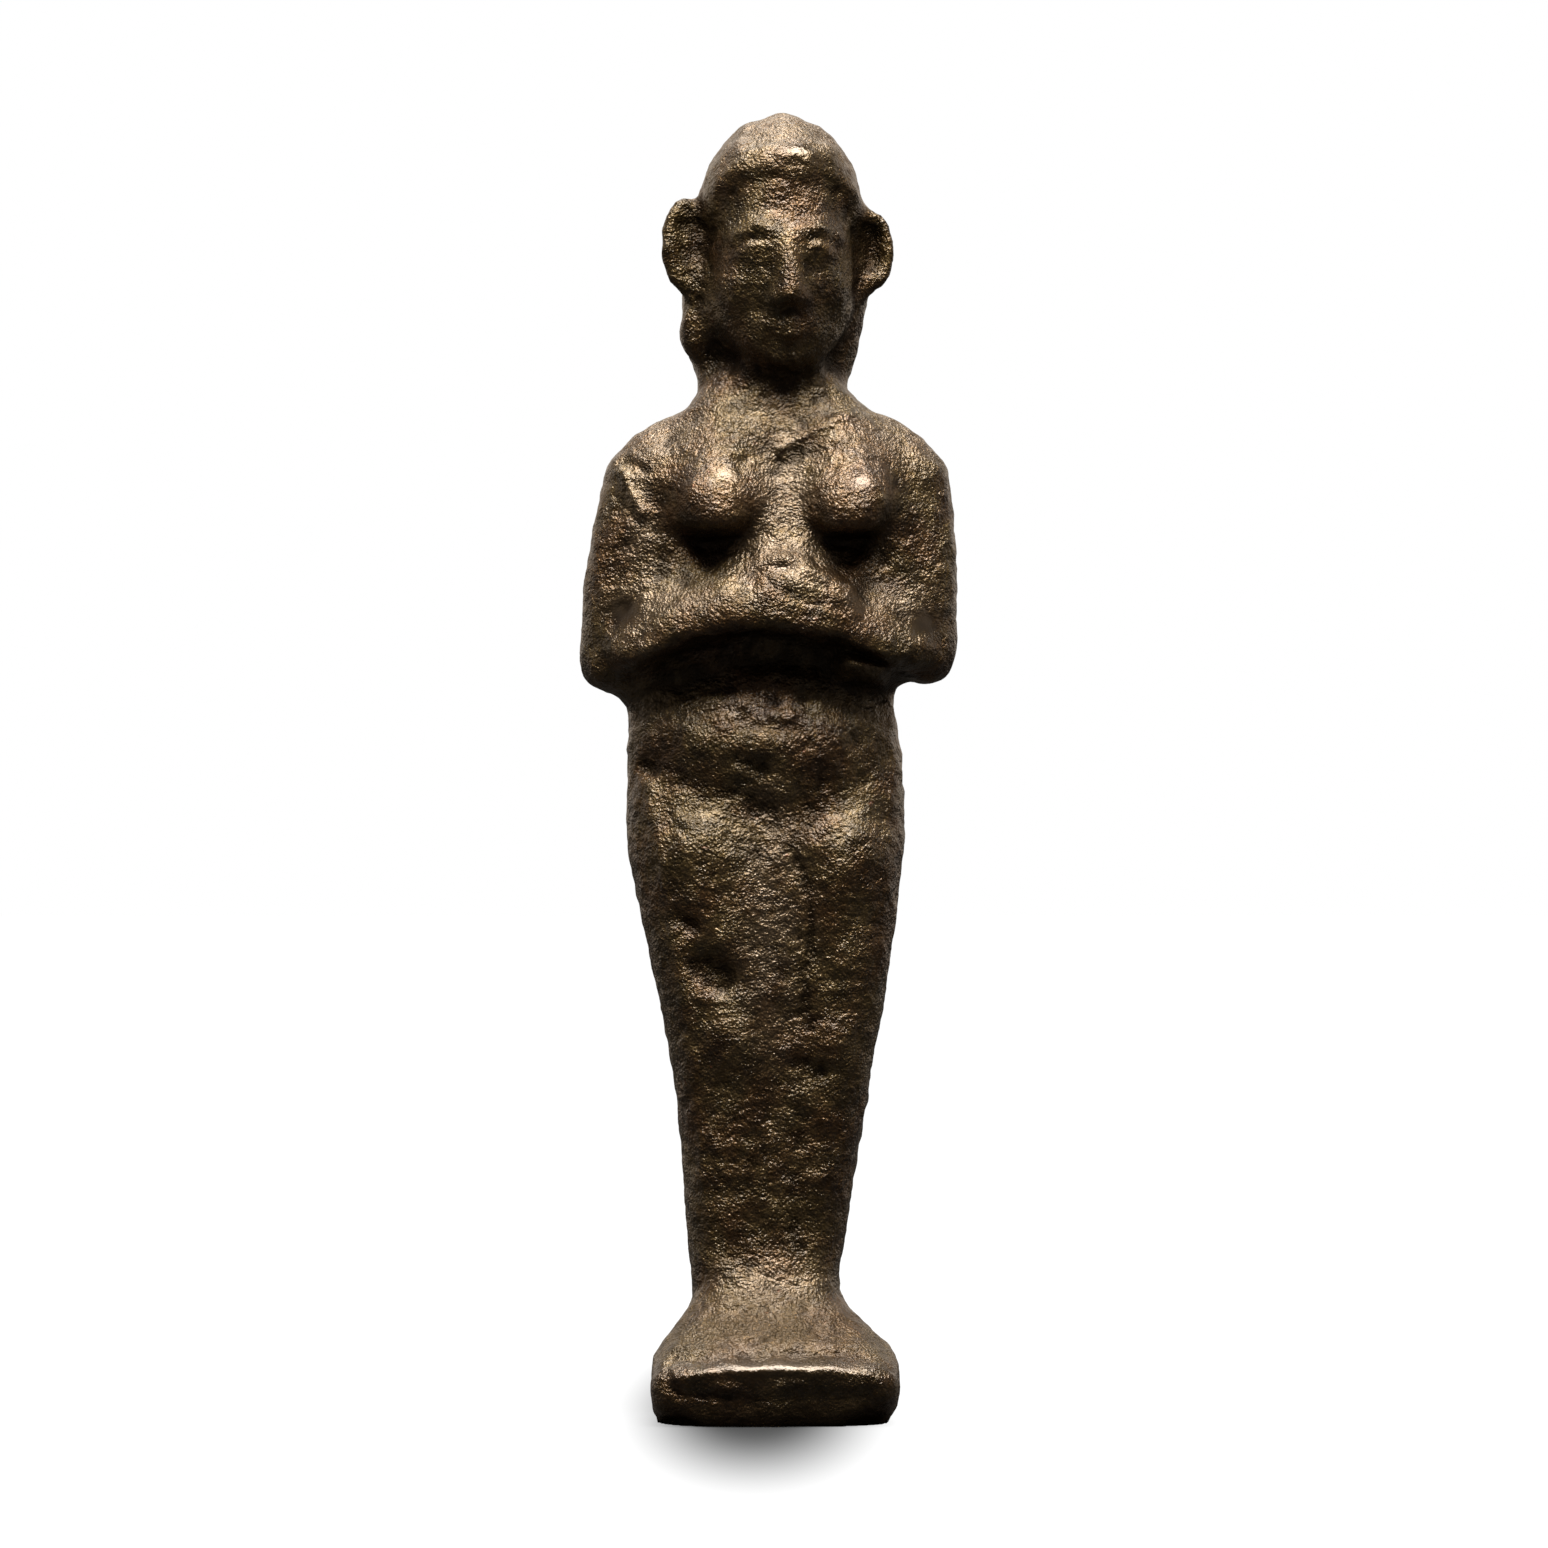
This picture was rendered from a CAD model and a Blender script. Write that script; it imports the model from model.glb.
# %% [markdown]
# # A small cast bronze, from solid to skin
# The object is a bronze woman about as long as a finger, cast in one piece with the block that
# her legs run down into. Her skin is grainy, pitted and full of soft lumps, bright where it
# stands out and almost black in the hollows.
# This lesson loads the plain solid of the figure, lights it from above against white, and then
# works on a copy of it the way a caster works on wax, from big forms to small ones.
# Lengths are metres. Places on the figure are given in hundredths of its height, because that
# is how a figure is measured: 50 is the middle, 100 the crown.

# %% Load the solid
import math

import bpy
import numpy as np
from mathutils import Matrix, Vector


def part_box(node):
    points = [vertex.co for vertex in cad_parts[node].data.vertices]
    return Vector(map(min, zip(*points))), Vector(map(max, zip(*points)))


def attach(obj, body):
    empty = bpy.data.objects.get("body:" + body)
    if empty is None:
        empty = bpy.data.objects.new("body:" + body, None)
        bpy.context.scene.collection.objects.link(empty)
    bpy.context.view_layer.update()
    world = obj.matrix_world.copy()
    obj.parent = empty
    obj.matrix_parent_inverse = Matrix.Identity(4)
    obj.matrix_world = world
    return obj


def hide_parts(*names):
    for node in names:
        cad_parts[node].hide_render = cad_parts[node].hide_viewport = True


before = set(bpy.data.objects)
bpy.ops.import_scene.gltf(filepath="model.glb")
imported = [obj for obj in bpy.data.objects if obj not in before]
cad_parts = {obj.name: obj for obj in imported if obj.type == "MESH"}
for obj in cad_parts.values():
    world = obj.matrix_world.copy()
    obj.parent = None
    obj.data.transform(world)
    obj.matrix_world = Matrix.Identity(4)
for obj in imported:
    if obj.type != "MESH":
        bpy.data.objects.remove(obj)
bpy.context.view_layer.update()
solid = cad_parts["statuette"]
low, high = (Vector(corner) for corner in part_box("statuette"))
HEIGHT = high.z - low.z
print("solid", [round(size * 1000, 1) for size in high - low], "mm")

# %% [markdown]
# ## The view
# The figure is seen from straight in front, level with its middle. The foot block shows a
# little of its top, as if from about five degrees above, and that fits a long lens some 60 cm
# away. A camera could be moved by eye until it looks right, but with the distance known, the
# lens follows from the width of the frame: 125 mm, which leaves a margin all round.

# %% Camera
DISTANCE = 0.60
FRAME_WIDTH = 0.1250
LEVEL = 0.0518
RIGHT_OF_MIDDLE = 0.0003

camera_data = bpy.data.cameras.new("camera")
camera_data.sensor_width = 36
camera_data.lens = camera_data.sensor_width * DISTANCE / FRAME_WIDTH
camera_data.clip_start = 0.01
camera = bpy.data.objects.new("camera", camera_data)
camera.location = (RIGHT_OF_MIDDLE, -DISTANCE, LEVEL)
camera.rotation_euler = (math.radians(90), 0, 0)
bpy.context.scene.collection.objects.link(camera)
bpy.context.scene.camera = camera
print("lens", round(camera_data.lens), "mm")

# %% [markdown]
# ## The light
# Bronze shows its surroundings more than its own colour. Here the crown, the shoulders, the
# breasts and the forearms shine, the fronts of the legs are deep brown and the hollows are
# black. Many small lamps would give many small sparks, so one broad soft light hangs overhead,
# a little in front, and the room in front of the figure is dark. A second, weak light hangs
# above and behind. Both are slightly warm, as the highlights are. The view is set to Standard,
# so white stays white.

# %% Studio
WARM_WHITE = (1.0, 0.92, 0.82)


def soft_light(name, place, aim, width, depth, power):
    """A rectangular light that faces a point."""
    data = bpy.data.lights.new(name, "AREA")
    data.shape = "RECTANGLE"
    data.size = width
    data.size_y = depth
    data.energy = power
    data.color = WARM_WHITE
    light = bpy.data.objects.new(name, data)
    light.location = place
    light.rotation_euler = (Vector(aim) - Vector(place)).to_track_quat("-Z", "Y").to_euler()
    bpy.context.scene.collection.objects.link(light)


soft_light("overhead", (0.0, -0.155, 0.47), (0, -0.04, 0.06), width=0.36, depth=0.28, power=5.1)
soft_light("from_behind", (-0.03, 0.24, 0.40), (0, 0, 0.05), width=0.24, depth=0.14, power=0.4)
bpy.context.scene.view_settings.view_transform = "Standard"
bpy.context.scene.view_settings.look = "None"

# %% [markdown]
# ## The wax
# The solid has the figure's main forms in large flat faces. A copy of it is the wax that this
# lesson works on. A caster would roll and stick on the small forms, the fingers and the lips.
# Here they are added as separate pieces of wax, pellets and rolls, and joined with the body
# before one Remesh modifier melts them all into one skin. Booleans could join them too, but
# they leave sharp seams, which a worn bronze doesn't have.

# %% Places on the figure and on the head
UNIT = HEIGHT / 100
HEAD_CENTRE = Vector((0.75, -0.3, 90.0))
HEAD_TURN = math.radians(7)


def deselect():
    """An operator acts on all that is selected, so each step starts with nothing selected."""
    bpy.ops.object.select_all(action="DESELECT")


def on_head(x, y, z):
    """A place measured from the middle of the head, as it lies on the turned head."""
    turned = Vector((
        x * math.cos(HEAD_TURN) - y * math.sin(HEAD_TURN),
        x * math.sin(HEAD_TURN) + y * math.cos(HEAD_TURN),
        z,
    ))
    return HEAD_CENTRE + turned


print("one hundredth of the height is", round(UNIT * 1000, 2), "mm")

# %% Pellets and rolls of wax
wax = []


def pellet(centre, radii):
    """An egg of wax, given by its half sizes."""
    deselect()
    bpy.ops.mesh.primitive_uv_sphere_add(
        segments=24, ring_count=14, radius=1, location=Vector(centre) * UNIT,
        scale=[radius * UNIT for radius in radii],
    )
    bpy.ops.object.transform_apply(location=True, rotation=True, scale=True)
    wax.append(bpy.context.object)


def roll(*stops):
    """A roll of wax through several places, each (place, radius)."""
    for (start, thick), (end, thin) in zip(stops, stops[1:]):
        start, end = Vector(start) * UNIT, Vector(end) * UNIT
        deselect()
        bpy.ops.mesh.primitive_cone_add(
            vertices=20, radius1=thick * UNIT, radius2=thin * UNIT, depth=(end - start).length,
            location=(start + end) / 2, rotation=(end - start).to_track_quat("Z", "Y").to_euler(),
        )
        bpy.ops.object.transform_apply(location=True, rotation=True, scale=True)
        wax.append(bpy.context.object)
    for place, radius in stops:
        pellet(place, (radius, radius, radius))


print("wax is ready,", len(wax), "pieces yet")

# %% [markdown]
# ## The hands
# The hand of the arm at the left lies below, its fingers to the right. The other lies above
# it, its fingers to the left and its thumb along the top. Worn down as they are, the fingers
# are only low ridges. Whole fingers would stand out too far, so each is a roll of wax that is
# half sunk in the hand.

# %% Hands
FINGERS = 3
FINGER_PITCH = 0.8

for finger in range(FINGERS):
    drop = FINGER_PITCH * finger
    roll(
        ((0.2, -7.6, 62.5 - drop), 0.55),
        ((2.9, -7.8, 62.0 - drop), 0.55),
        ((5.0 - 0.5 * finger, -7.2, 61.3 - drop), 0.45),
    )
for finger in range(FINGERS):
    drop = FINGER_PITCH * finger
    roll(
        ((3.2 - 0.3 * finger, -7.8, 64.5 - drop), 0.58),
        ((1.0 - 0.2 * finger, -8.2, 64.2 - drop), 0.55),
        ((-0.9 + 0.2 * finger, -8.0, 63.6 - drop), 0.45),
    )
roll(((2.6, -7.2, 65.2), 0.6), ((0.9, -7.6, 65.5), 0.55), ((-0.3, -7.5, 65.1), 0.45))
print("pieces of wax", len(wax))

# %% [markdown]
# ## The face
# The face is a calm one on plain proportions: forehead, nose and chin each take about a third
# of it, and the eyes are set not quite an eye's width apart. Eyes and the wings of the nose are
# pellets; lids, brows and lips are rolls. All are placed on the head and not on the figure, so
# that the face turns with the head, and one loop makes both halves alike.

# %% Face
for side in (-1, 1):
    pellet(on_head(side * 2.3, -4.75, -1.0), (1.35, 1.0, 0.72))  # eye
    roll(  # upper lid
        (on_head(side * 1.0, -5.45, -1.0), 0.14),
        (on_head(side * 1.8, -5.85, -0.45), 0.2),
        (on_head(side * 2.8, -5.65, -0.45), 0.2),
        (on_head(side * 3.8, -4.75, -1.0), 0.16),
    )
    roll(  # lower lid
        (on_head(side * 1.3, -5.4, -1.35), 0.13),
        (on_head(side * 2.3, -5.6, -1.7), 0.16),
        (on_head(side * 3.4, -4.9, -1.35), 0.13),
    )
    roll(  # brow
        (on_head(side * 0.9, -5.75, 0.5), 0.34),
        (on_head(side * 2.4, -5.5, 1.05), 0.34),
        (on_head(side * 4.1, -4.2, 0.4), 0.3),
    )
    pellet(on_head(side * 0.85, -6.2, -4.5), (0.6, 0.8, 0.58))  # wing of the nose
    roll((on_head(0, -6.0, -6.35), 0.4), (on_head(side * 1.75, -5.35, -6.65), 0.22))  # upper lip
    roll((on_head(0, -5.9, -7.3), 0.44), (on_head(side * 1.4, -5.3, -7.05), 0.26))  # lower lip
print("pieces of wax", len(wax))

# %% [markdown]
# ## One skin
# The solid's mesh is loose triangles, so a copy of it is merged first. Copy and wax are then
# joined and remeshed. A Remesh modifier in Voxel mode closes everything into one skin of even
# faces, here about a third of a millimetre wide, which carving needs: a large flat triangle
# can't take a small dent. A light smoothing takes away the steps.

# %% Join and remesh
SKIN_FACE = 0.00031


def add_and_apply(kind, **settings):
    """Gives the figure a modifier and applies it at once."""
    modifier = figure.modifiers.new(kind.lower(), kind)
    for name, value in settings.items():
        setattr(modifier, name, value)
    bpy.ops.object.modifier_apply(modifier=modifier.name)


deselect()
figure = solid.copy()
figure.data = solid.data.copy()
figure.name = "bronze_woman"
figure.parent = None
figure.matrix_world.identity()
figure.data.materials.clear()
bpy.context.scene.collection.objects.link(figure)
bpy.context.view_layer.objects.active = figure
figure.select_set(True)
bpy.ops.object.mode_set(mode="EDIT")
bpy.ops.mesh.select_all(action="SELECT")
bpy.ops.mesh.remove_doubles(threshold=1e-6)
bpy.ops.object.mode_set(mode="OBJECT")
for piece in wax:
    piece.select_set(True)
bpy.ops.object.join()
add_and_apply("REMESH", mode="VOXEL", voxel_size=SKIN_FACE)
add_and_apply("SMOOTH", factor=0.5, iterations=6)
print("skin", len(figure.data.polygons), "faces")

# %% [markdown]
# ## Tools for carving
# By hand this would be done with the brushes of Sculpt Mode. A script has no pen, so it moves
# the points of the skin itself. For that it reads all of them at once, in hundredths of the
# height, with the way the skin faces at each, and puts them back when they have moved. A path
# for a tool is given as it is seen from the front, across and up.

# %% Points in and out
def points_now():
    """Every point of the figure, in hundredths of the height."""
    flat = np.empty(len(figure.data.vertices) * 3)
    figure.data.vertices.foreach_get("co", flat)
    return flat.reshape(-1, 3) / UNIT


def facing_now():
    """Which way the skin faces at each point."""
    flat = np.empty(len(figure.data.vertices) * 3)
    figure.data.vertex_normals.foreach_get("vector", flat)
    return flat.reshape(-1, 3)


def settle(points):
    """Puts the points of the figure where these are."""
    figure.data.vertices.foreach_set("co", (points * UNIT).ravel())
    figure.data.update()


def away_from(points, path):
    """Distance of each point to a run of straight lengths, as seen from the front."""
    seen, path = points[:, [0, 2]], np.array(path, float)
    if len(path) == 1:
        return np.linalg.norm(seen - path[0], axis=1)
    nearest = np.full(len(seen), np.inf)
    for start, end in zip(path, path[1:]):
        along = end - start
        share = np.clip(((seen - start) @ along) / (along @ along), 0, 1)
        distance = np.linalg.norm(seen - start - share[:, None] * along, axis=1)
        nearest = np.minimum(nearest, distance)
    return nearest


def bell(points, path, width):
    """One along the path, falling softly to nothing beside it."""
    return np.exp(-((away_from(points, path) / (width / 2)) ** 2))


print("carving", len(figure.data.vertices), "points")

# %% [markdown]
# Four tools do all the carving. A stroke presses the skin back along a path, by a given width
# and depth, and a negative depth raises a ridge. A swell pushes out or sinks a round place. A
# drag pulls the skin near a path along, as a thumb does, and a rub smooths it. All but the
# swell move only the front of the figure, so its back stays plain.

# %% Stroke and swell
def stroke(path, width, depth):
    """Presses a groove into the skin that faces the front; below zero it raises a ridge."""
    points = points_now()
    frontal = np.clip(facing_now()[:, 1] * -2.0, 0, 1)
    points[:, 1] += bell(points, path, width) * frontal * depth
    settle(points)


def swell(centre, radii, amount):
    """Lifts the skin along its own facing inside an egg-shaped space; below zero it sinks."""
    points = points_now()
    reach = (((points - np.array(centre)) / np.array(radii)) ** 2).sum(1)
    settle(points + facing_now() * (amount * np.exp(-reach))[:, None])


print("stroke and swell are ready")

# %% Drag and rub
FRONT_HALF = -2
WEIGHT_STEPS = 5


def weigh(name, weights):
    """Makes a vertex group that has a weight for each point, in steps of a fifth."""
    group = figure.vertex_groups.new(name=name)
    for level in range(1, WEIGHT_STEPS + 1):
        members = np.flatnonzero(np.round(weights * WEIGHT_STEPS) == level)
        group.add(members.tolist(), level / WEIGHT_STEPS, "REPLACE")


def drag(path, width, shift):
    """Pulls the front of the skin along, near a path."""
    points = points_now()
    not_behind = np.clip(0.6 - facing_now()[:, 1] * 2.0, 0, 1)
    pull = bell(points, path, width) * not_behind
    settle(points + pull[:, None] * np.array(shift) * (points[:, 1] < FRONT_HALF)[:, None])


def rub(path, width, rounds):
    """Rubs the front of the skin smooth along a path."""
    points = points_now()
    weigh("rubbed", bell(points, path, width) * (points[:, 1] < FRONT_HALF))
    add_and_apply("SMOOTH", factor=0.5, iterations=rounds, vertex_group="rubbed")
    figure.vertex_groups.remove(figure.vertex_groups["rubbed"])


print("drag and rub are ready")

# %% [markdown]
# ## Chest and arms
# The big forms are in the solid already. What they lack is the soft undercut of a form that
# was pressed with a thumb: the lower edge of the forearms is dragged down and forward and
# rubbed round, and so is the lower part of each breast, with strokes pressed in under it for
# the dark there. The breastbone and the fronts of the shoulders are raised a little, a
# slanting ridge crosses the throat, the arm at the left has a sharp facet that catches the
# light, and a shallow groove parts each arm from the chest.

# %% Forearms
drag(
    ((-10.5, 59.2), (-6.0, 60.8), (-2.0, 61.7), (0.6, 61.8), (5.0, 61.3), (9.5, 59.6)),
    2.8, (0, -0.4, -0.9),
)
rub(
    ((-10.5, 58.6), (-6.0, 59.9), (-2.0, 60.6), (0.6, 60.7), (5.0, 60.4), (9.5, 58.9)),
    2.0, 24,
)
print("forearms undercut")

# %% Chest
BREAST_LEVEL = 69.6

swell((0.9, -5.5, 69.3), (2.6, 4.0, 3.2), 0.6)  # breastbone
for x, z in ((-4.3, 67.3), (6.1, 67.4)):  # the lower edge of each breast
    drag(((x - 1.6, BREAST_LEVEL), (x + 1.6, BREAST_LEVEL)), 3.4, (0, -0.5, -1.2))
    stroke(((x - 1.5, z - 0.3), (x + 1.0, z - 0.2)), 1.1, 0.4)
    stroke(((x - 1.1, z - 0.9), (x + 0.5, z - 0.9)), 1.3, 0.4)
    stroke(((x - 0.6, z - 1.9), (x - 0.2, z - 1.9)), 1.2, 0.35)
stroke(((-5.6, 77.0), (-6.4, 71.0)), 2.2, -0.4)  # front of the shoulder at the left
stroke(((7.8, 76.5), (8.8, 70.5)), 2.2, -0.4)  # the same at the right
stroke(((0.6, 74.0), (3.2, 75.5), (6.1, 77.0)), 0.6, -0.25)  # ridge across the throat
stroke(((-11.5, 72.5), (-10.6, 70.6), (-9.7, 69.3)), 0.9, -0.45)  # edge of the facet
stroke(((-11.0, 73.2), (-9.4, 72.5)), 0.9, 0.35)  # hollow above it
for side in (-1, 1):
    stroke(((side * 8.6, 70.5), (side * 8.4, 65.0)), 2.4, 0.16)  # between arm and chest
print("chest carved")

# %% [markdown]
# ## Fingers
# The fingers have melted into one another, so they are parted by lines pressed into one
# surface. One line divides the upper hand from the lower, and two fainter ones part the
# fingers, with a small pit where the thumb meets them. Below the arms a lump of metal hangs at
# the right, and the belly starts with a small step.

# %% Fingers
stroke(((-0.2, 64.0), (0.6, 63.3), (2.5, 62.6), (4.4, 62.2), (5.6, 61.7)), 0.5, 0.3)
stroke(((0.4, 61.9), (2.6, 61.4), (4.2, 61.0)), 0.5, 0.12)
stroke(((1.2, 64.9), (2.8, 64.1), (4.6, 63.4)), 0.5, 0.15)
stroke(((0.9, 64.2),), 0.8, 0.35)  # pit at the thumb
stroke(((6.0, 57.7), (7.2, 57.3), (8.2, 57.0)), 2.0, -3.2)  # lump under the arm
swell((1.6, -5.5, 56.6), (5.0, 3.0, 1.3), 0.7)  # step at the top of the belly
print("fingers parted")

# %% [markdown]
# ## Head
# The hair is a close cap without strands, so there is nothing to comb or to plant. Its front
# edge is a low roll that runs over the brow from ear to ear, with a soft step below it, and
# the cap has a few lumps and dents near the crown. The throat under the chin is sunk.

# %% Hair
hair_line = (
    (-5.0, 94.6), (-4.6, 95.6), (-2.6, 96.6), (-0.8, 96.9),
    (1.0, 96.4), (3.4, 96.1), (5.6, 96.1), (6.4, 94.8),
)
stroke(hair_line, 1.2, -0.1)
stroke([(x, z - 1.1) for x, z in hair_line], 1.0, -0.25)
rub([(x, z - 0.6) for x, z in hair_line], 1.2, 10)
for place, radii, amount in (
    ((2.1, -4.5, 97.0), (1.7, 2.0, 1.0), 0.3), ((1.6, -0.5, 99.6), (1.2, 3.0, 1.2), 0.2),
    ((-2.6, -3.5, 97.4), (1.3, 2.5, 1.0), 0.25), ((4.6, -3.0, 97.2), (1.2, 2.5, 1.0), 0.25),
    ((-1.2, -3.6, 97.8), (0.9, 2.4, 1.0), -0.25), ((3.9, -2.5, 98.2), (0.8, 2.4, 1.0), -0.25),
    ((-1.8, 0.0, 98.5), (1.2, 3.0, 1.2), 0.3), ((3.6, 0.0, 98.4), (1.2, 3.0, 1.2), 0.3),
    ((0.9, -3.6, 80.6), (3.4, 3.0, 2.2), -0.9),  # throat
):
    swell(place, radii, amount)
print("hair carved")

# %% [markdown]
# ## Foot block
# The feet are only a low block with a sloping top. It is filled out where the legs run into
# it. A wavy lip runs along its front edge, with a crease above it, and curls over at the left.
# The solid's edge is straight, and a Bevel would round it evenly all along, so the lip is
# raised along a path whose places rise and fall.

# %% Foot block
stroke(((-2.5, 9.4), (3.6, 9.4)), 5.5, -0.8)  # where the legs run in
lip = (
    (-7.2, 4.1), (-5.0, 4.3), (-3.0, 4.6), (-1.5, 4.5),
    (0.5, 4.7), (2.5, 4.5), (4.5, 4.6), (7.4, 4.3),
)
stroke(lip, 1.5, -0.35)
stroke([(x, z + 0.7) for x, z in lip], 0.9, 0.4)  # crease above the lip
stroke(((-6.5, 2.4), (0.0, 2.2), (7.5, 2.4)), 0.9, 0.15)  # dip in the front
stroke(((-4.0, 3.2), (-2.6, 3.0)), 0.6, -0.15)
stroke(((0.8, 3.3), (2.6, 3.4)), 0.6, -0.15)
stroke(((-7.0, 2.6), (-7.8, 3.4), (-7.7, 4.6), (-6.9, 5.2)), 0.7, 0.25)  # curl at the left
print("foot block carved")

# %% [markdown]
# ## Belly and legs
# The belly is a soft round with shallow dents and folds. The legs are parted by one fine
# groove, off the middle, that fades towards the soft knees, and a low edge runs down each side.
# The leg at the left has a few pits, such as bubbles leave in a casting. A noise pattern would
# strew pits evenly, and these stand apart, so each has a stroke of its own.

# %% Belly
for path, width, depth in (
    (((-0.5, 49.7),), 1.7, 0.15), (((0.3, 54.7),), 1.2, 0.15),
    (((-2.6, 50.4), (-1.6, 50.2)), 1.1, 0.25), (((0.2, 54.0), (1.7, 53.8)), 1.0, -0.22),
    (((-4.8, 54.6), (-3.4, 54.9), (-2.2, 54.6)), 1.2, -0.22),
    (((-2.0, 53.2), (0.4, 52.6), (2.6, 52.9)), 1.2, 0.2),
    (((-2.4, 48.3), (-1.6, 47.6)), 1.3, 0.2),
):
    stroke(path, width, depth)
print("belly carved")

# %% Legs
stroke(((2.1, 42.6), (2.9, 41.0), (3.2, 39.1), (3.1, 35.8)), 0.8, 0.12)  # between the legs
stroke(((2.6, 33.0), (2.5, 31.4)), 0.9, 0.1)
swell((-1.9, -6.0, 28.3), (2.4, 2.5, 1.8), 0.45)  # knees
swell((3.2, -6.0, 28.4), (2.0, 2.5, 1.8), 0.15)
stroke(((2.0, 27.4), (3.8, 26.7)), 1.4, 0.18)  # hollow below the knee at the right
for path, width, depth in (  # pits
    (((-6.0, 34.6), (-4.9, 33.7), (-3.7, 33.3)), 1.2, 0.2),
    (((-4.7, 33.2), (-3.7, 32.9)), 0.9, 0.25), (((-6.4, 37.9), (-5.5, 37.6)), 0.9, 0.2),
    (((-9.6, 49.9), (-9.2, 49.4)), 1.1, 0.3), (((2.2, 36.8),), 0.4, 0.2),
):
    stroke(path, width, depth)
for side, top, foot in ((-1, (-9.6, 50), (-6.3, 30)), (1, (9.6, 50), (8.6, 30))):
    stroke((top, foot, (side * 5.4 + 0.8, 14)), 1.0, -0.2)  # edge down the side
print("legs carved")

# %% [markdown]
# ## The cast skin
# The skin has waves a few millimetres long, lumps a millimetre or two across and crumbs of
# less than one. A bump map would leave the outline smooth, and the figure's is uneven, so they
# are real relief: Displace modifiers read cloud patterns in the figure's own space. The face
# and the front of the foot block are smoother, so a vertex group weakens the relief there.
# Finer grain is left to the material.

# %% Waves and lumps
SOLE = 0.3


def near(points, centre, radii):
    """One at a place, fading to zero around it."""
    return np.exp(-(((points - np.array(centre)) / np.array(radii)) ** 2).sum(1))


points = points_now()
spared = np.maximum(
    0.7 * near(points, (0.5, -6.5, 87.0), (5.2, 4.0, 6.0)),
    0.7 * near(points, (0.7, -11.0, 4.2), (12.0, 2.6, 2.0)),
)
weigh("grainy", 1 - spared)
for name, size, height, layers in (
    ("waves", 0.0046, 0.0004, 2), ("lumps", 0.0015, 0.00026, 1), ("crumbs", 0.0008, 0.00013, 1),
):
    cloud = bpy.data.textures.new(name, "CLOUDS")
    cloud.noise_scale = size
    cloud.noise_depth = layers
    add_and_apply(
        "DISPLACE", texture=cloud, texture_coords="LOCAL", strength=height, mid_level=0.5,
        vertex_group="grainy",
    )
points = points_now()
points[:, 2] = np.where(points[:, 2] < SOLE, 0.0, points[:, 2])  # the underside is flat again
settle(points)
bpy.ops.object.shade_smooth()
print("relief over", len(points), "points")

# %% [markdown]
# ## Where it is dark and where it is worn
# The bronze is dark where it is hollow. The Pointiness of the Geometry node finds hollows in
# one step, but only between neighbouring points, and a hollow here is many points wide. So the
# skin is compared with two smoother copies of itself, one for the pits and one for the wide
# hollows. What lies inside a copy is hollow. How far each point rises above either copy is kept
# as an attribute, one half being level, and the material reads the low end of it.

# %% Measure the hollows
FINE_ROUNDS = 12
BROAD_ROUNDS = 160
FULL_FINE_RISE = 0.12
FULL_BROAD_RISE = 1.0


def keep(name, values):
    """Stores one value per point, where the material can read it."""
    layer = figure.data.attributes.new(name, "FLOAT", "POINT")
    layer.data.foreach_set("value", values)


ends = np.empty(len(figure.data.edges) * 2, np.int64)
figure.data.edges.foreach_get("vertices", ends)
first, second = ends.reshape(-1, 2).T
points, facing = points_now(), facing_now()
neighbours = np.bincount(ends, minlength=len(points))


def mean_of_neighbours(values):
    """For each point, the mean of a value over the points that it shares an edge with."""
    total = np.bincount(first, values[second], len(values))
    total = total + np.bincount(second, values[first], len(values))
    return total / neighbours


smooth = points.copy()
rise = {}
for done in range(1, BROAD_ROUNDS + 1):
    smooth = np.array([mean_of_neighbours(smooth[:, axis]) for axis in range(3)]).T
    if done in (FINE_ROUNDS, BROAD_ROUNDS):
        rise[done] = ((points - smooth) * facing).sum(1)
for name, done, full in (
    ("fine_rise", FINE_ROUNDS, FULL_FINE_RISE), ("broad_rise", BROAD_ROUNDS, FULL_BROAD_RISE),
):
    values = np.clip(0.5 + 0.5 * rise[done] / full, 0, 1)
    keep(name, values)
    print(name, np.percentile(values, (5, 50, 95)).round(2))

# %% [markdown]
# Some places are polished, whatever their shape: the long front edge of the foot block, the
# breasts, the roll of hair over the brow and the points of the elbows. On the crown, shoulders,
# chest and forearms the dark surface has gone pale and greyish. The front of the foot block is
# nearly black under its polish, and on the block's sloping top and along its bottom edge it is
# dusty and without shine. Such places could be painted on by hand, but a mask that is worked
# out from a few centres follows the figure when it is made again.

# %% Mark the polished and the pale places
def mark(name, *places):
    """Keeps, point by point, how near it is to the nearest of several places."""
    values = np.max([near(points, centre, radii) for centre, radii in places], axis=0)
    keep(name, values)
    print(name, "on", round(float((values > 0.5).mean() * 100), 1), "percent of the points")


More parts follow.
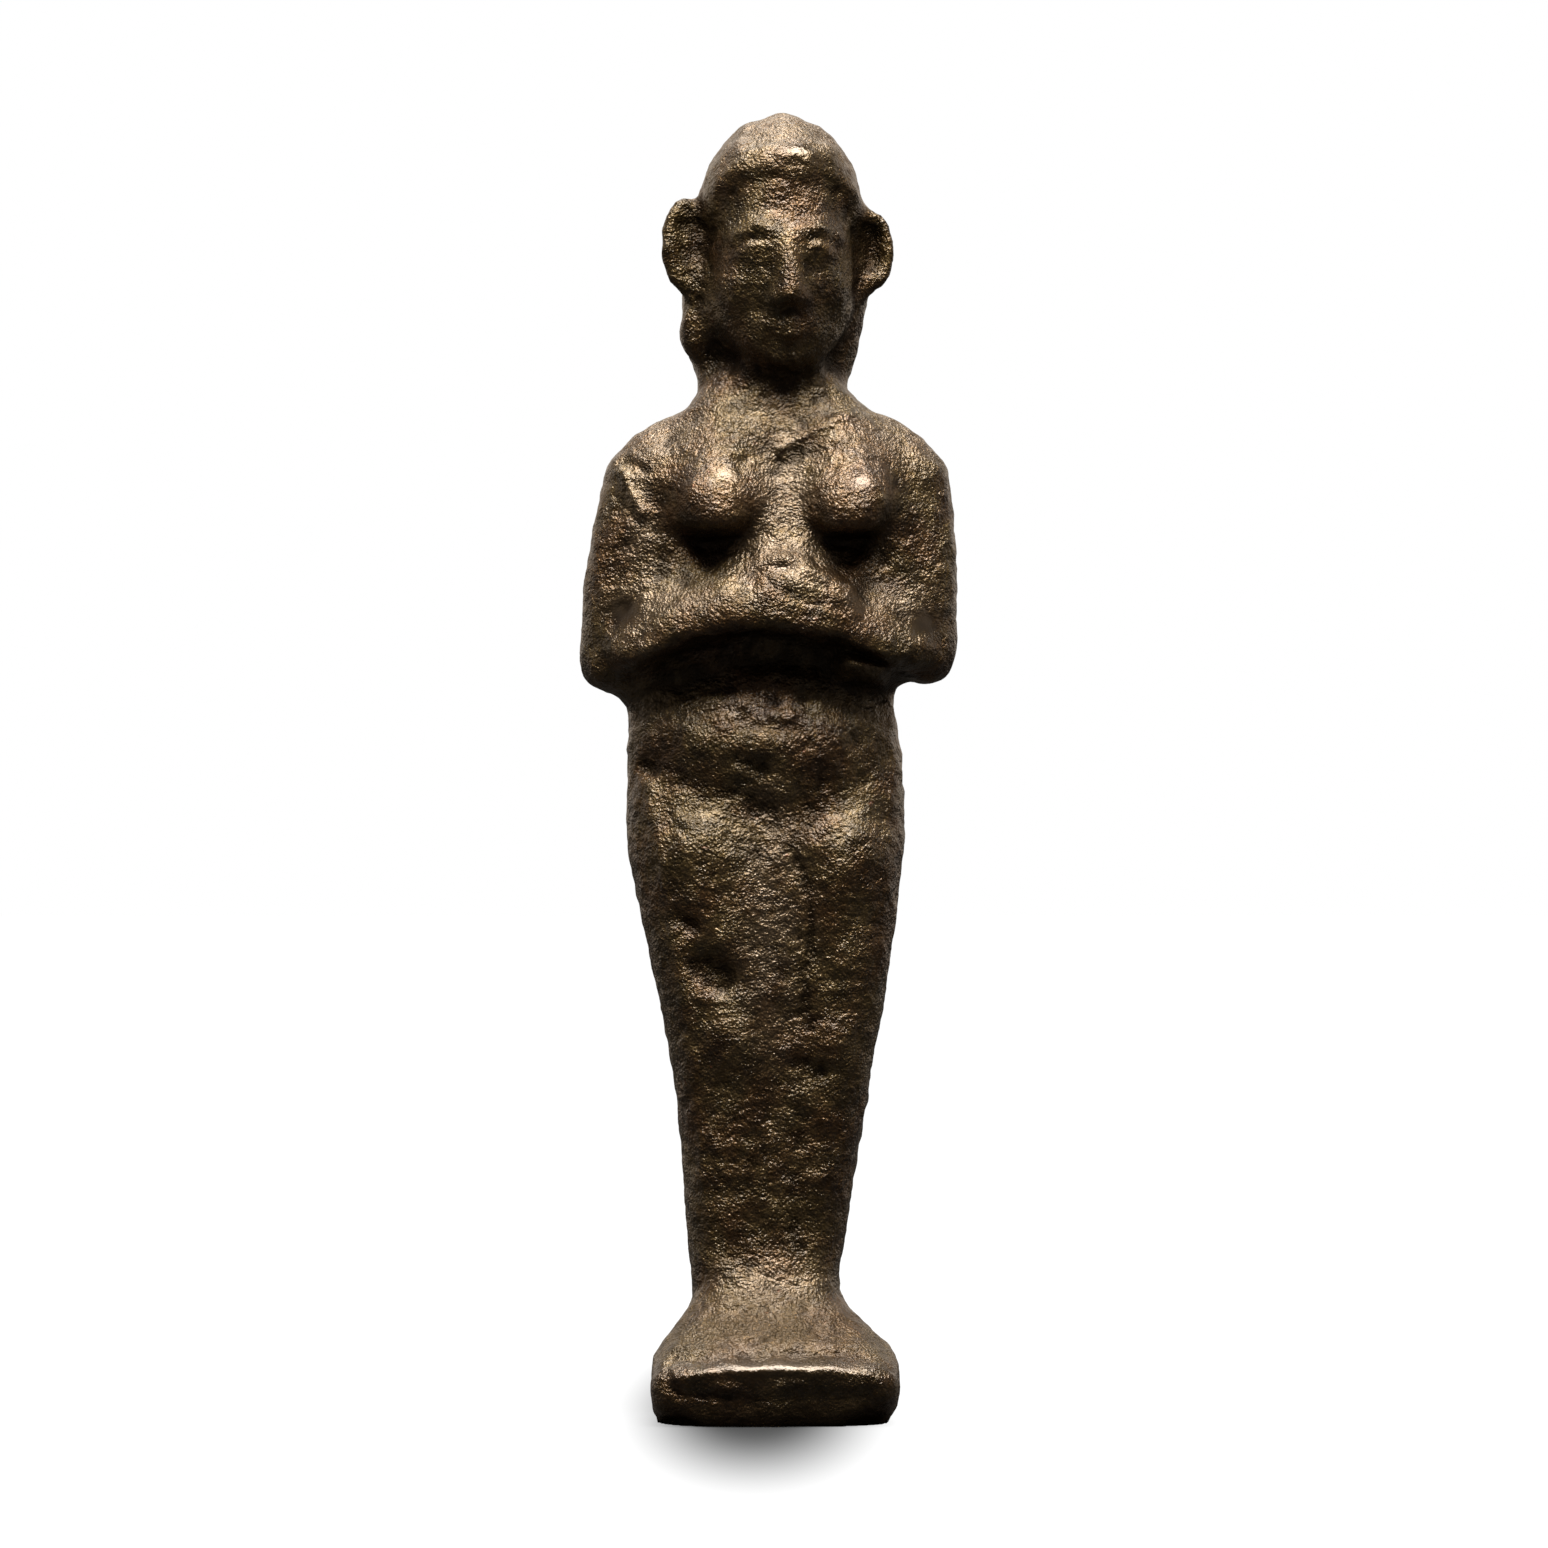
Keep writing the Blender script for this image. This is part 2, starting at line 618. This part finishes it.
mark(
    "polish",
    ((0.7, -10.8, 4.5), (9.0, 2.4, 1.1)),
    ((-3.4, -8.0, 72.1), (0.8, 3.0, 0.6)),
    ((6.9, -8.0, 71.6), (0.9, 3.0, 0.6)),
    ((2.2, -5.5, 97.0), (1.6, 3.0, 1.0)),
    ((0.6, -8.0, 65.0), (0.8, 2.0, 0.35)),
    ((-11.2, -5.0, 61.6), (1.4, 4.0, 1.2)),
    ((11.8, -5.0, 60.7), (1.4, 4.0, 1.2)),
    ((-4.0, -8.0, 54.4), (2.8, 3.0, 0.8)),
)
mark(
    "pale",
    ((1.0, -1.0, 99.0), (6.0, 7.0, 3.0)),
    ((-8.5, 0.0, 75.0), (4.0, 6.0, 2.0)),
    ((9.5, 0.0, 75.0), (4.0, 6.0, 2.0)),
    ((1.2, -5.0, 71.5), (3.0, 4.0, 5.0)),
    ((1.0, -7.0, 66.0), (4.5, 3.0, 2.6)),
    ((-7.5, -5.5, 62.6), (5.0, 3.0, 1.4)),
    ((8.5, -5.5, 62.4), (5.0, 3.0, 1.4)),
    ((-0.3, -7.0, 10.5), (4.0, 4.0, 1.8)),
    ((0.0, -6.5, 38.0), (2.2, 4.0, 9.0)),
    ((-9.8, 0.0, 66.0), (1.5, 8.0, 10.0)),
)
mark("black_edge", ((0.7, -10.8, 3.8), (9.0, 2.6, 1.6)))
mark(
    "dusty",
    ((0.6, -8.0, 7.2), (9.0, 6.0, 2.2)),
    ((0.6, 2.0, 7.0), (9.0, 6.0, 2.6)),
    ((0.6, -9.0, 0.8), (9.0, 5.0, 1.0)),
)

# %% [markdown]
# ## The bronze
# The bronze is a dark olive brown. Its hollows are nearly black, its skin is speckled with
# ochre grains, a few rusty spots sit in it, the tops of the head and shoulders are paler and
# the foot block is a dusty tan. Each of these is one mask and one colour, laid over what is
# below it, which is easier to set than one long colour ramp. The material works in
# millimetres: a Mapping node turns the figure's metres into millimetres, so a pattern with a
# scale of 2 has two features to the millimetre.

# %% Nodes
def open_nodes(owner):
    """The nodes and links of a material or world, in which the next nodes are made."""
    owner.use_nodes = True
    return owner.node_tree.nodes, owner.node_tree.links


def node(kind, label="", **settings):
    """A new node with its settings."""
    made = nodes.new(kind)
    made.label = label
    for name, value in settings.items():
        setattr(made, name, value)
    return made


def maths(operation, first, second=0.0):
    """A Math node; each side is a number or the output of another node."""
    made = node("ShaderNodeMath", operation=operation)
    for socket, value in zip(made.inputs, (first, second)):
        if isinstance(value, (int, float)):
            socket.default_value = value
        else:
            links.new(value, socket)
    return made.outputs[0]


def times(first, second):
    return maths("MULTIPLY", first, second)


def plus(first, second):
    return maths("ADD", first, second)


def minus(first, second):
    return maths("SUBTRACT", first, second)


def larger(first, second):
    return maths("MAXIMUM", first, second)


material = bpy.data.materials.new("olive_bronze")
nodes, links = open_nodes(material)
shader = nodes["Principled BSDF"]
print("material", material.name)

# %% Patterns and masks
coordinates = node("ShaderNodeTexCoord")
millimetres = node("ShaderNodeMapping")
millimetres.inputs["Scale"].default_value = (1000, 1000, 1000)
links.new(coordinates.outputs["Object"], millimetres.inputs["Vector"])


def noise(label, scale, detail, rough):
    """A cloud pattern with so many features to the millimetre."""
    made = node("ShaderNodeTexNoise", label)
    links.new(millimetres.outputs[0], made.inputs["Vector"])
    made.inputs["Scale"].default_value = scale
    made.inputs["Detail"].default_value = detail
    made.inputs["Roughness"].default_value = rough
    return made.outputs["Fac"]


def window(value, start, end, label=""):
    """Stretches a value softly, so that the start becomes 0 and the end becomes 1."""
    made = node("ShaderNodeMapRange", label, interpolation_type="SMOOTHSTEP")
    links.new(value, made.inputs["Value"])
    made.inputs["From Min"].default_value = start
    made.inputs["From Max"].default_value = end
    return made.outputs["Result"]


def blend(mask, first, second):
    """One colour where the mask is 0, the other where it is 1."""
    made = node("ShaderNodeMix", data_type="RGBA")
    links.new(mask, made.inputs["Factor"])
    first_colour, second_colour = made.inputs[6], made.inputs[7]
    for socket, value in ((first_colour, first), (second_colour, second)):
        if isinstance(value, tuple):
            socket.default_value = (*value, 1)
        else:
            links.new(value, socket)
    return made.outputs[2]


def kept(name):
    """Reads back what keep has stored on the points."""
    return node("ShaderNodeAttribute", attribute_name=name).outputs["Fac"]


print("patterns on", len(nodes), "nodes")

# %% Colour
DEEP_BROWN = (0.040, 0.019, 0.006)
DEEP_OLIVE = (0.054, 0.036, 0.012)
CLEAR_BROWN = (0.107, 0.058, 0.022)
CLEAR_OLIVE = (0.118, 0.081, 0.032)
GREY_BROWN = (0.165, 0.120, 0.076)
TAN = (0.066, 0.047, 0.029)
OCHRE = (0.20, 0.135, 0.07)
RUST = (0.13, 0.055, 0.026)
HOLLOW_BLACK = (0.012, 0.008, 0.005)
POLISHED_BROWN = (0.030, 0.019, 0.011)
EDGE_BLACK = (0.016, 0.010, 0.006)

patches = window(noise("patches", 0.20, 3.0, 0.6), 0.38, 0.62)
mottle = window(noise("mottle", 0.55, 3.0, 0.65), 0.34, 0.62)
deep = blend(patches, DEEP_BROWN, DEEP_OLIVE)
clear = blend(patches, CLEAR_BROWN, CLEAR_OLIVE)
colour = blend(mottle, deep, clear)
wear = window(noise("wear", 0.6, 3.0, 0.65), 0.25, 0.60)
colour = blend(times(kept("pale"), wear), colour, GREY_BROWN)
dusty = kept("dusty")
colour = blend(times(dusty, 0.8), colour, TAN)
colour = blend(window(noise("ochre grains", 4.2, 3.0, 0.6), 0.58, 0.74), colour, OCHRE)
colour = blend(window(noise("rust", 0.9, 3.0, 0.6), 0.68, 0.78), colour, RUST)
hollow = window(kept("broad_rise"), 0.34, 0.02, "hollow")
pits = window(kept("fine_rise"), 0.42, 0.10, "pits")
dark = larger(times(hollow, 0.5), times(pits, 0.65))
colour = blend(dark, colour, HOLLOW_BLACK)
polish = kept("polish")
colour = blend(times(polish, 0.7), colour, POLISHED_BROWN)
colour = blend(times(kept("black_edge"), 0.4), colour, EDGE_BLACK)
links.new(colour, shader.inputs["Base Color"])
print("colour nodes", len(nodes))

# %% [markdown]
# ## Wax over metal
# The bronze has two shines, which one roughness can't give. The metal itself is rather rough
# and mirrors the light in its own brown. Over it lies a thin clear coat, like old wax, smooth
# and colourless, with the small white sparks: the Principled shader's Coat. It is patchy, thin
# in the hollows and under dust, and whole where the metal is polished.

# %% Gloss
SMOOTHEST = 0.28
ROUGHEST = 0.50

shader.inputs["Metallic"].default_value = 0.9
shader.inputs["Coat IOR"].default_value = 1.6
shader.inputs["Coat Roughness"].default_value = 0.14
rough_places = window(noise("rough places", 0.42, 2.0, 0.5), 0.36, 0.60)
dullness = plus(noise("speckle", 7.0, 1.0, 0.6), plus(times(rough_places, 0.2), dusty))
dullness = plus(minus(dullness, times(polish, 0.6)), hollow)
roughness = node("ShaderNodeMapRange", "roughness")
links.new(dullness, roughness.inputs["Value"])
roughness.inputs["To Min"].default_value = SMOOTHEST
roughness.inputs["To Max"].default_value = ROUGHEST
links.new(roughness.outputs["Result"], shader.inputs["Roughness"])
waxed = window(noise("wax", 2.4, 3.0, 0.6), 0.35, 0.60)
waxed = larger(plus(times(waxed, 0.5), 0.4), polish)
waxed = times(waxed, minus(1.0, dark))
dust_free = minus(1.0, times(dusty, 0.75))
links.new(times(waxed, larger(dust_free, polish)), shader.inputs["Coat Weight"])
print("gloss nodes", len(nodes))

# %% [markdown]
# ## Grain
# The finest grain is far smaller than the faces of the skin, so it is a bump. It has two
# layers: chips of about a fifth of a millimetre, taller in some places than in others, and
# dimples three times as wide. Where the metal is polished both are nearly worn away. The coat
# lies on the grain, so it takes the same normals.

# %% Grain
GRAIN_HEIGHT = 0.00018

chips = times(noise("chips", 4.6, 2.0, 0.5), plus(times(rough_places, 0.4), 0.75))
dimples = times(noise("dimples", 1.4, 1.0, 0.5), 1.1)
grain = times(plus(chips, dimples), minus(1.0, times(polish, 0.85)))
bump = node("ShaderNodeBump")
bump.inputs["Strength"].default_value = 1.0
bump.inputs["Distance"].default_value = GRAIN_HEIGHT
links.new(grain, bump.inputs["Height"])
links.new(bump.outputs["Normal"], shader.inputs["Normal"])
links.new(bump.outputs["Normal"], shader.inputs["Coat Normal"])
figure.data.materials.append(material)
print("nodes", len(nodes))

# %% [markdown]
# ## The ground and the surroundings
# The figure stands on plain white paper in front of white. To the eye both are pure white but
# for a soft shadow at the foot. It is drawn rather than cast, so that it can be set without
# touching the light on the bronze: to the camera the paper glows everywhere outside a long
# oval under the figure. What the bronze mirrors is another thing: a dark room with a warm,
# weak glow at the sides and behind. The Light Path node keeps the two apart.

# %% Paper
PAPER_DARK = (0.03, 0.03, 0.03)
PAPER_SEEN = (0.052, 0.057, 0.064)
WHITE = (1, 1, 1)

deselect()
bpy.ops.mesh.primitive_grid_add(x_subdivisions=8, y_subdivisions=8, size=3.0, location=(0, 0.6, 0))
bpy.ops.object.transform_apply(location=True)
paper = bpy.context.object
paper.name = "white_paper"
paper_white = bpy.data.materials.new("white_paper")
nodes, links = open_nodes(paper_white)
sheet = nodes["Principled BSDF"]
sheet.inputs["Roughness"].default_value = 0.95
sheet.inputs["Specular IOR Level"].default_value = 0.0
seen = node("ShaderNodeLightPath").outputs["Is Camera Ray"]
links.new(blend(seen, PAPER_DARK, PAPER_SEEN), sheet.inputs["Base Color"])
oval = node("ShaderNodeMapping", "the oval of the shade")
oval.inputs["Location"].default_value = (0.095, -0.12, 0)
oval.inputs["Scale"].default_value = (79, 11, 0)
links.new(node("ShaderNodeTexCoord").outputs["Object"], oval.inputs["Vector"])
from_middle = node("ShaderNodeVectorMath", operation="LENGTH")
links.new(oval.outputs[0], from_middle.inputs[0])
glow = window(from_middle.outputs["Value"], 0.25, 1.0, "out of the shade")
links.new(times(glow, seen), sheet.inputs["Emission Strength"])
sheet.inputs["Emission Color"].default_value = (*WHITE, 1)
paper.data.materials.append(paper_white)
print("paper", len(nodes), "nodes")

# %% Surroundings
WARM_GLOW = (1.0, 0.86, 0.72)
ROOM_LEVEL = 0.048

world = bpy.data.worlds.new("dark_room")
bpy.context.scene.world = world
nodes, links = open_nodes(world)
way = node("ShaderNodeSeparateXYZ")
links.new(node("ShaderNodeTexCoord").outputs["Generated"], way.inputs[0])
behind = window(way.outputs["Y"], 0.1, 0.9, "behind")
beside = window(maths("ABSOLUTE", way.outputs["X"]), 0.45, 0.95, "beside")
above = window(way.outputs["Z"], -0.3, 0.3, "above")
room = plus(times(plus(times(behind, 0.8), times(beside, 0.28)), above), ROOM_LEVEL)
seen = node("ShaderNodeLightPath").outputs["Is Camera Ray"]
links.new(larger(room, seen), nodes["Background"].inputs["Strength"])
links.new(blend(seen, WARM_GLOW, WHITE), nodes["Background"].inputs["Color"])
print("surroundings", len(nodes), "nodes")

# %% [markdown]
# ## Finish
# The finished piece rides on the only body of the model, stands for the solid and takes its
# slot. The boxes of the solid and of the finished figure are written down side by side, which
# shows whether carving and relief have made the figure grow.

# %% Hand over
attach(figure, "root")
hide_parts("statuette")
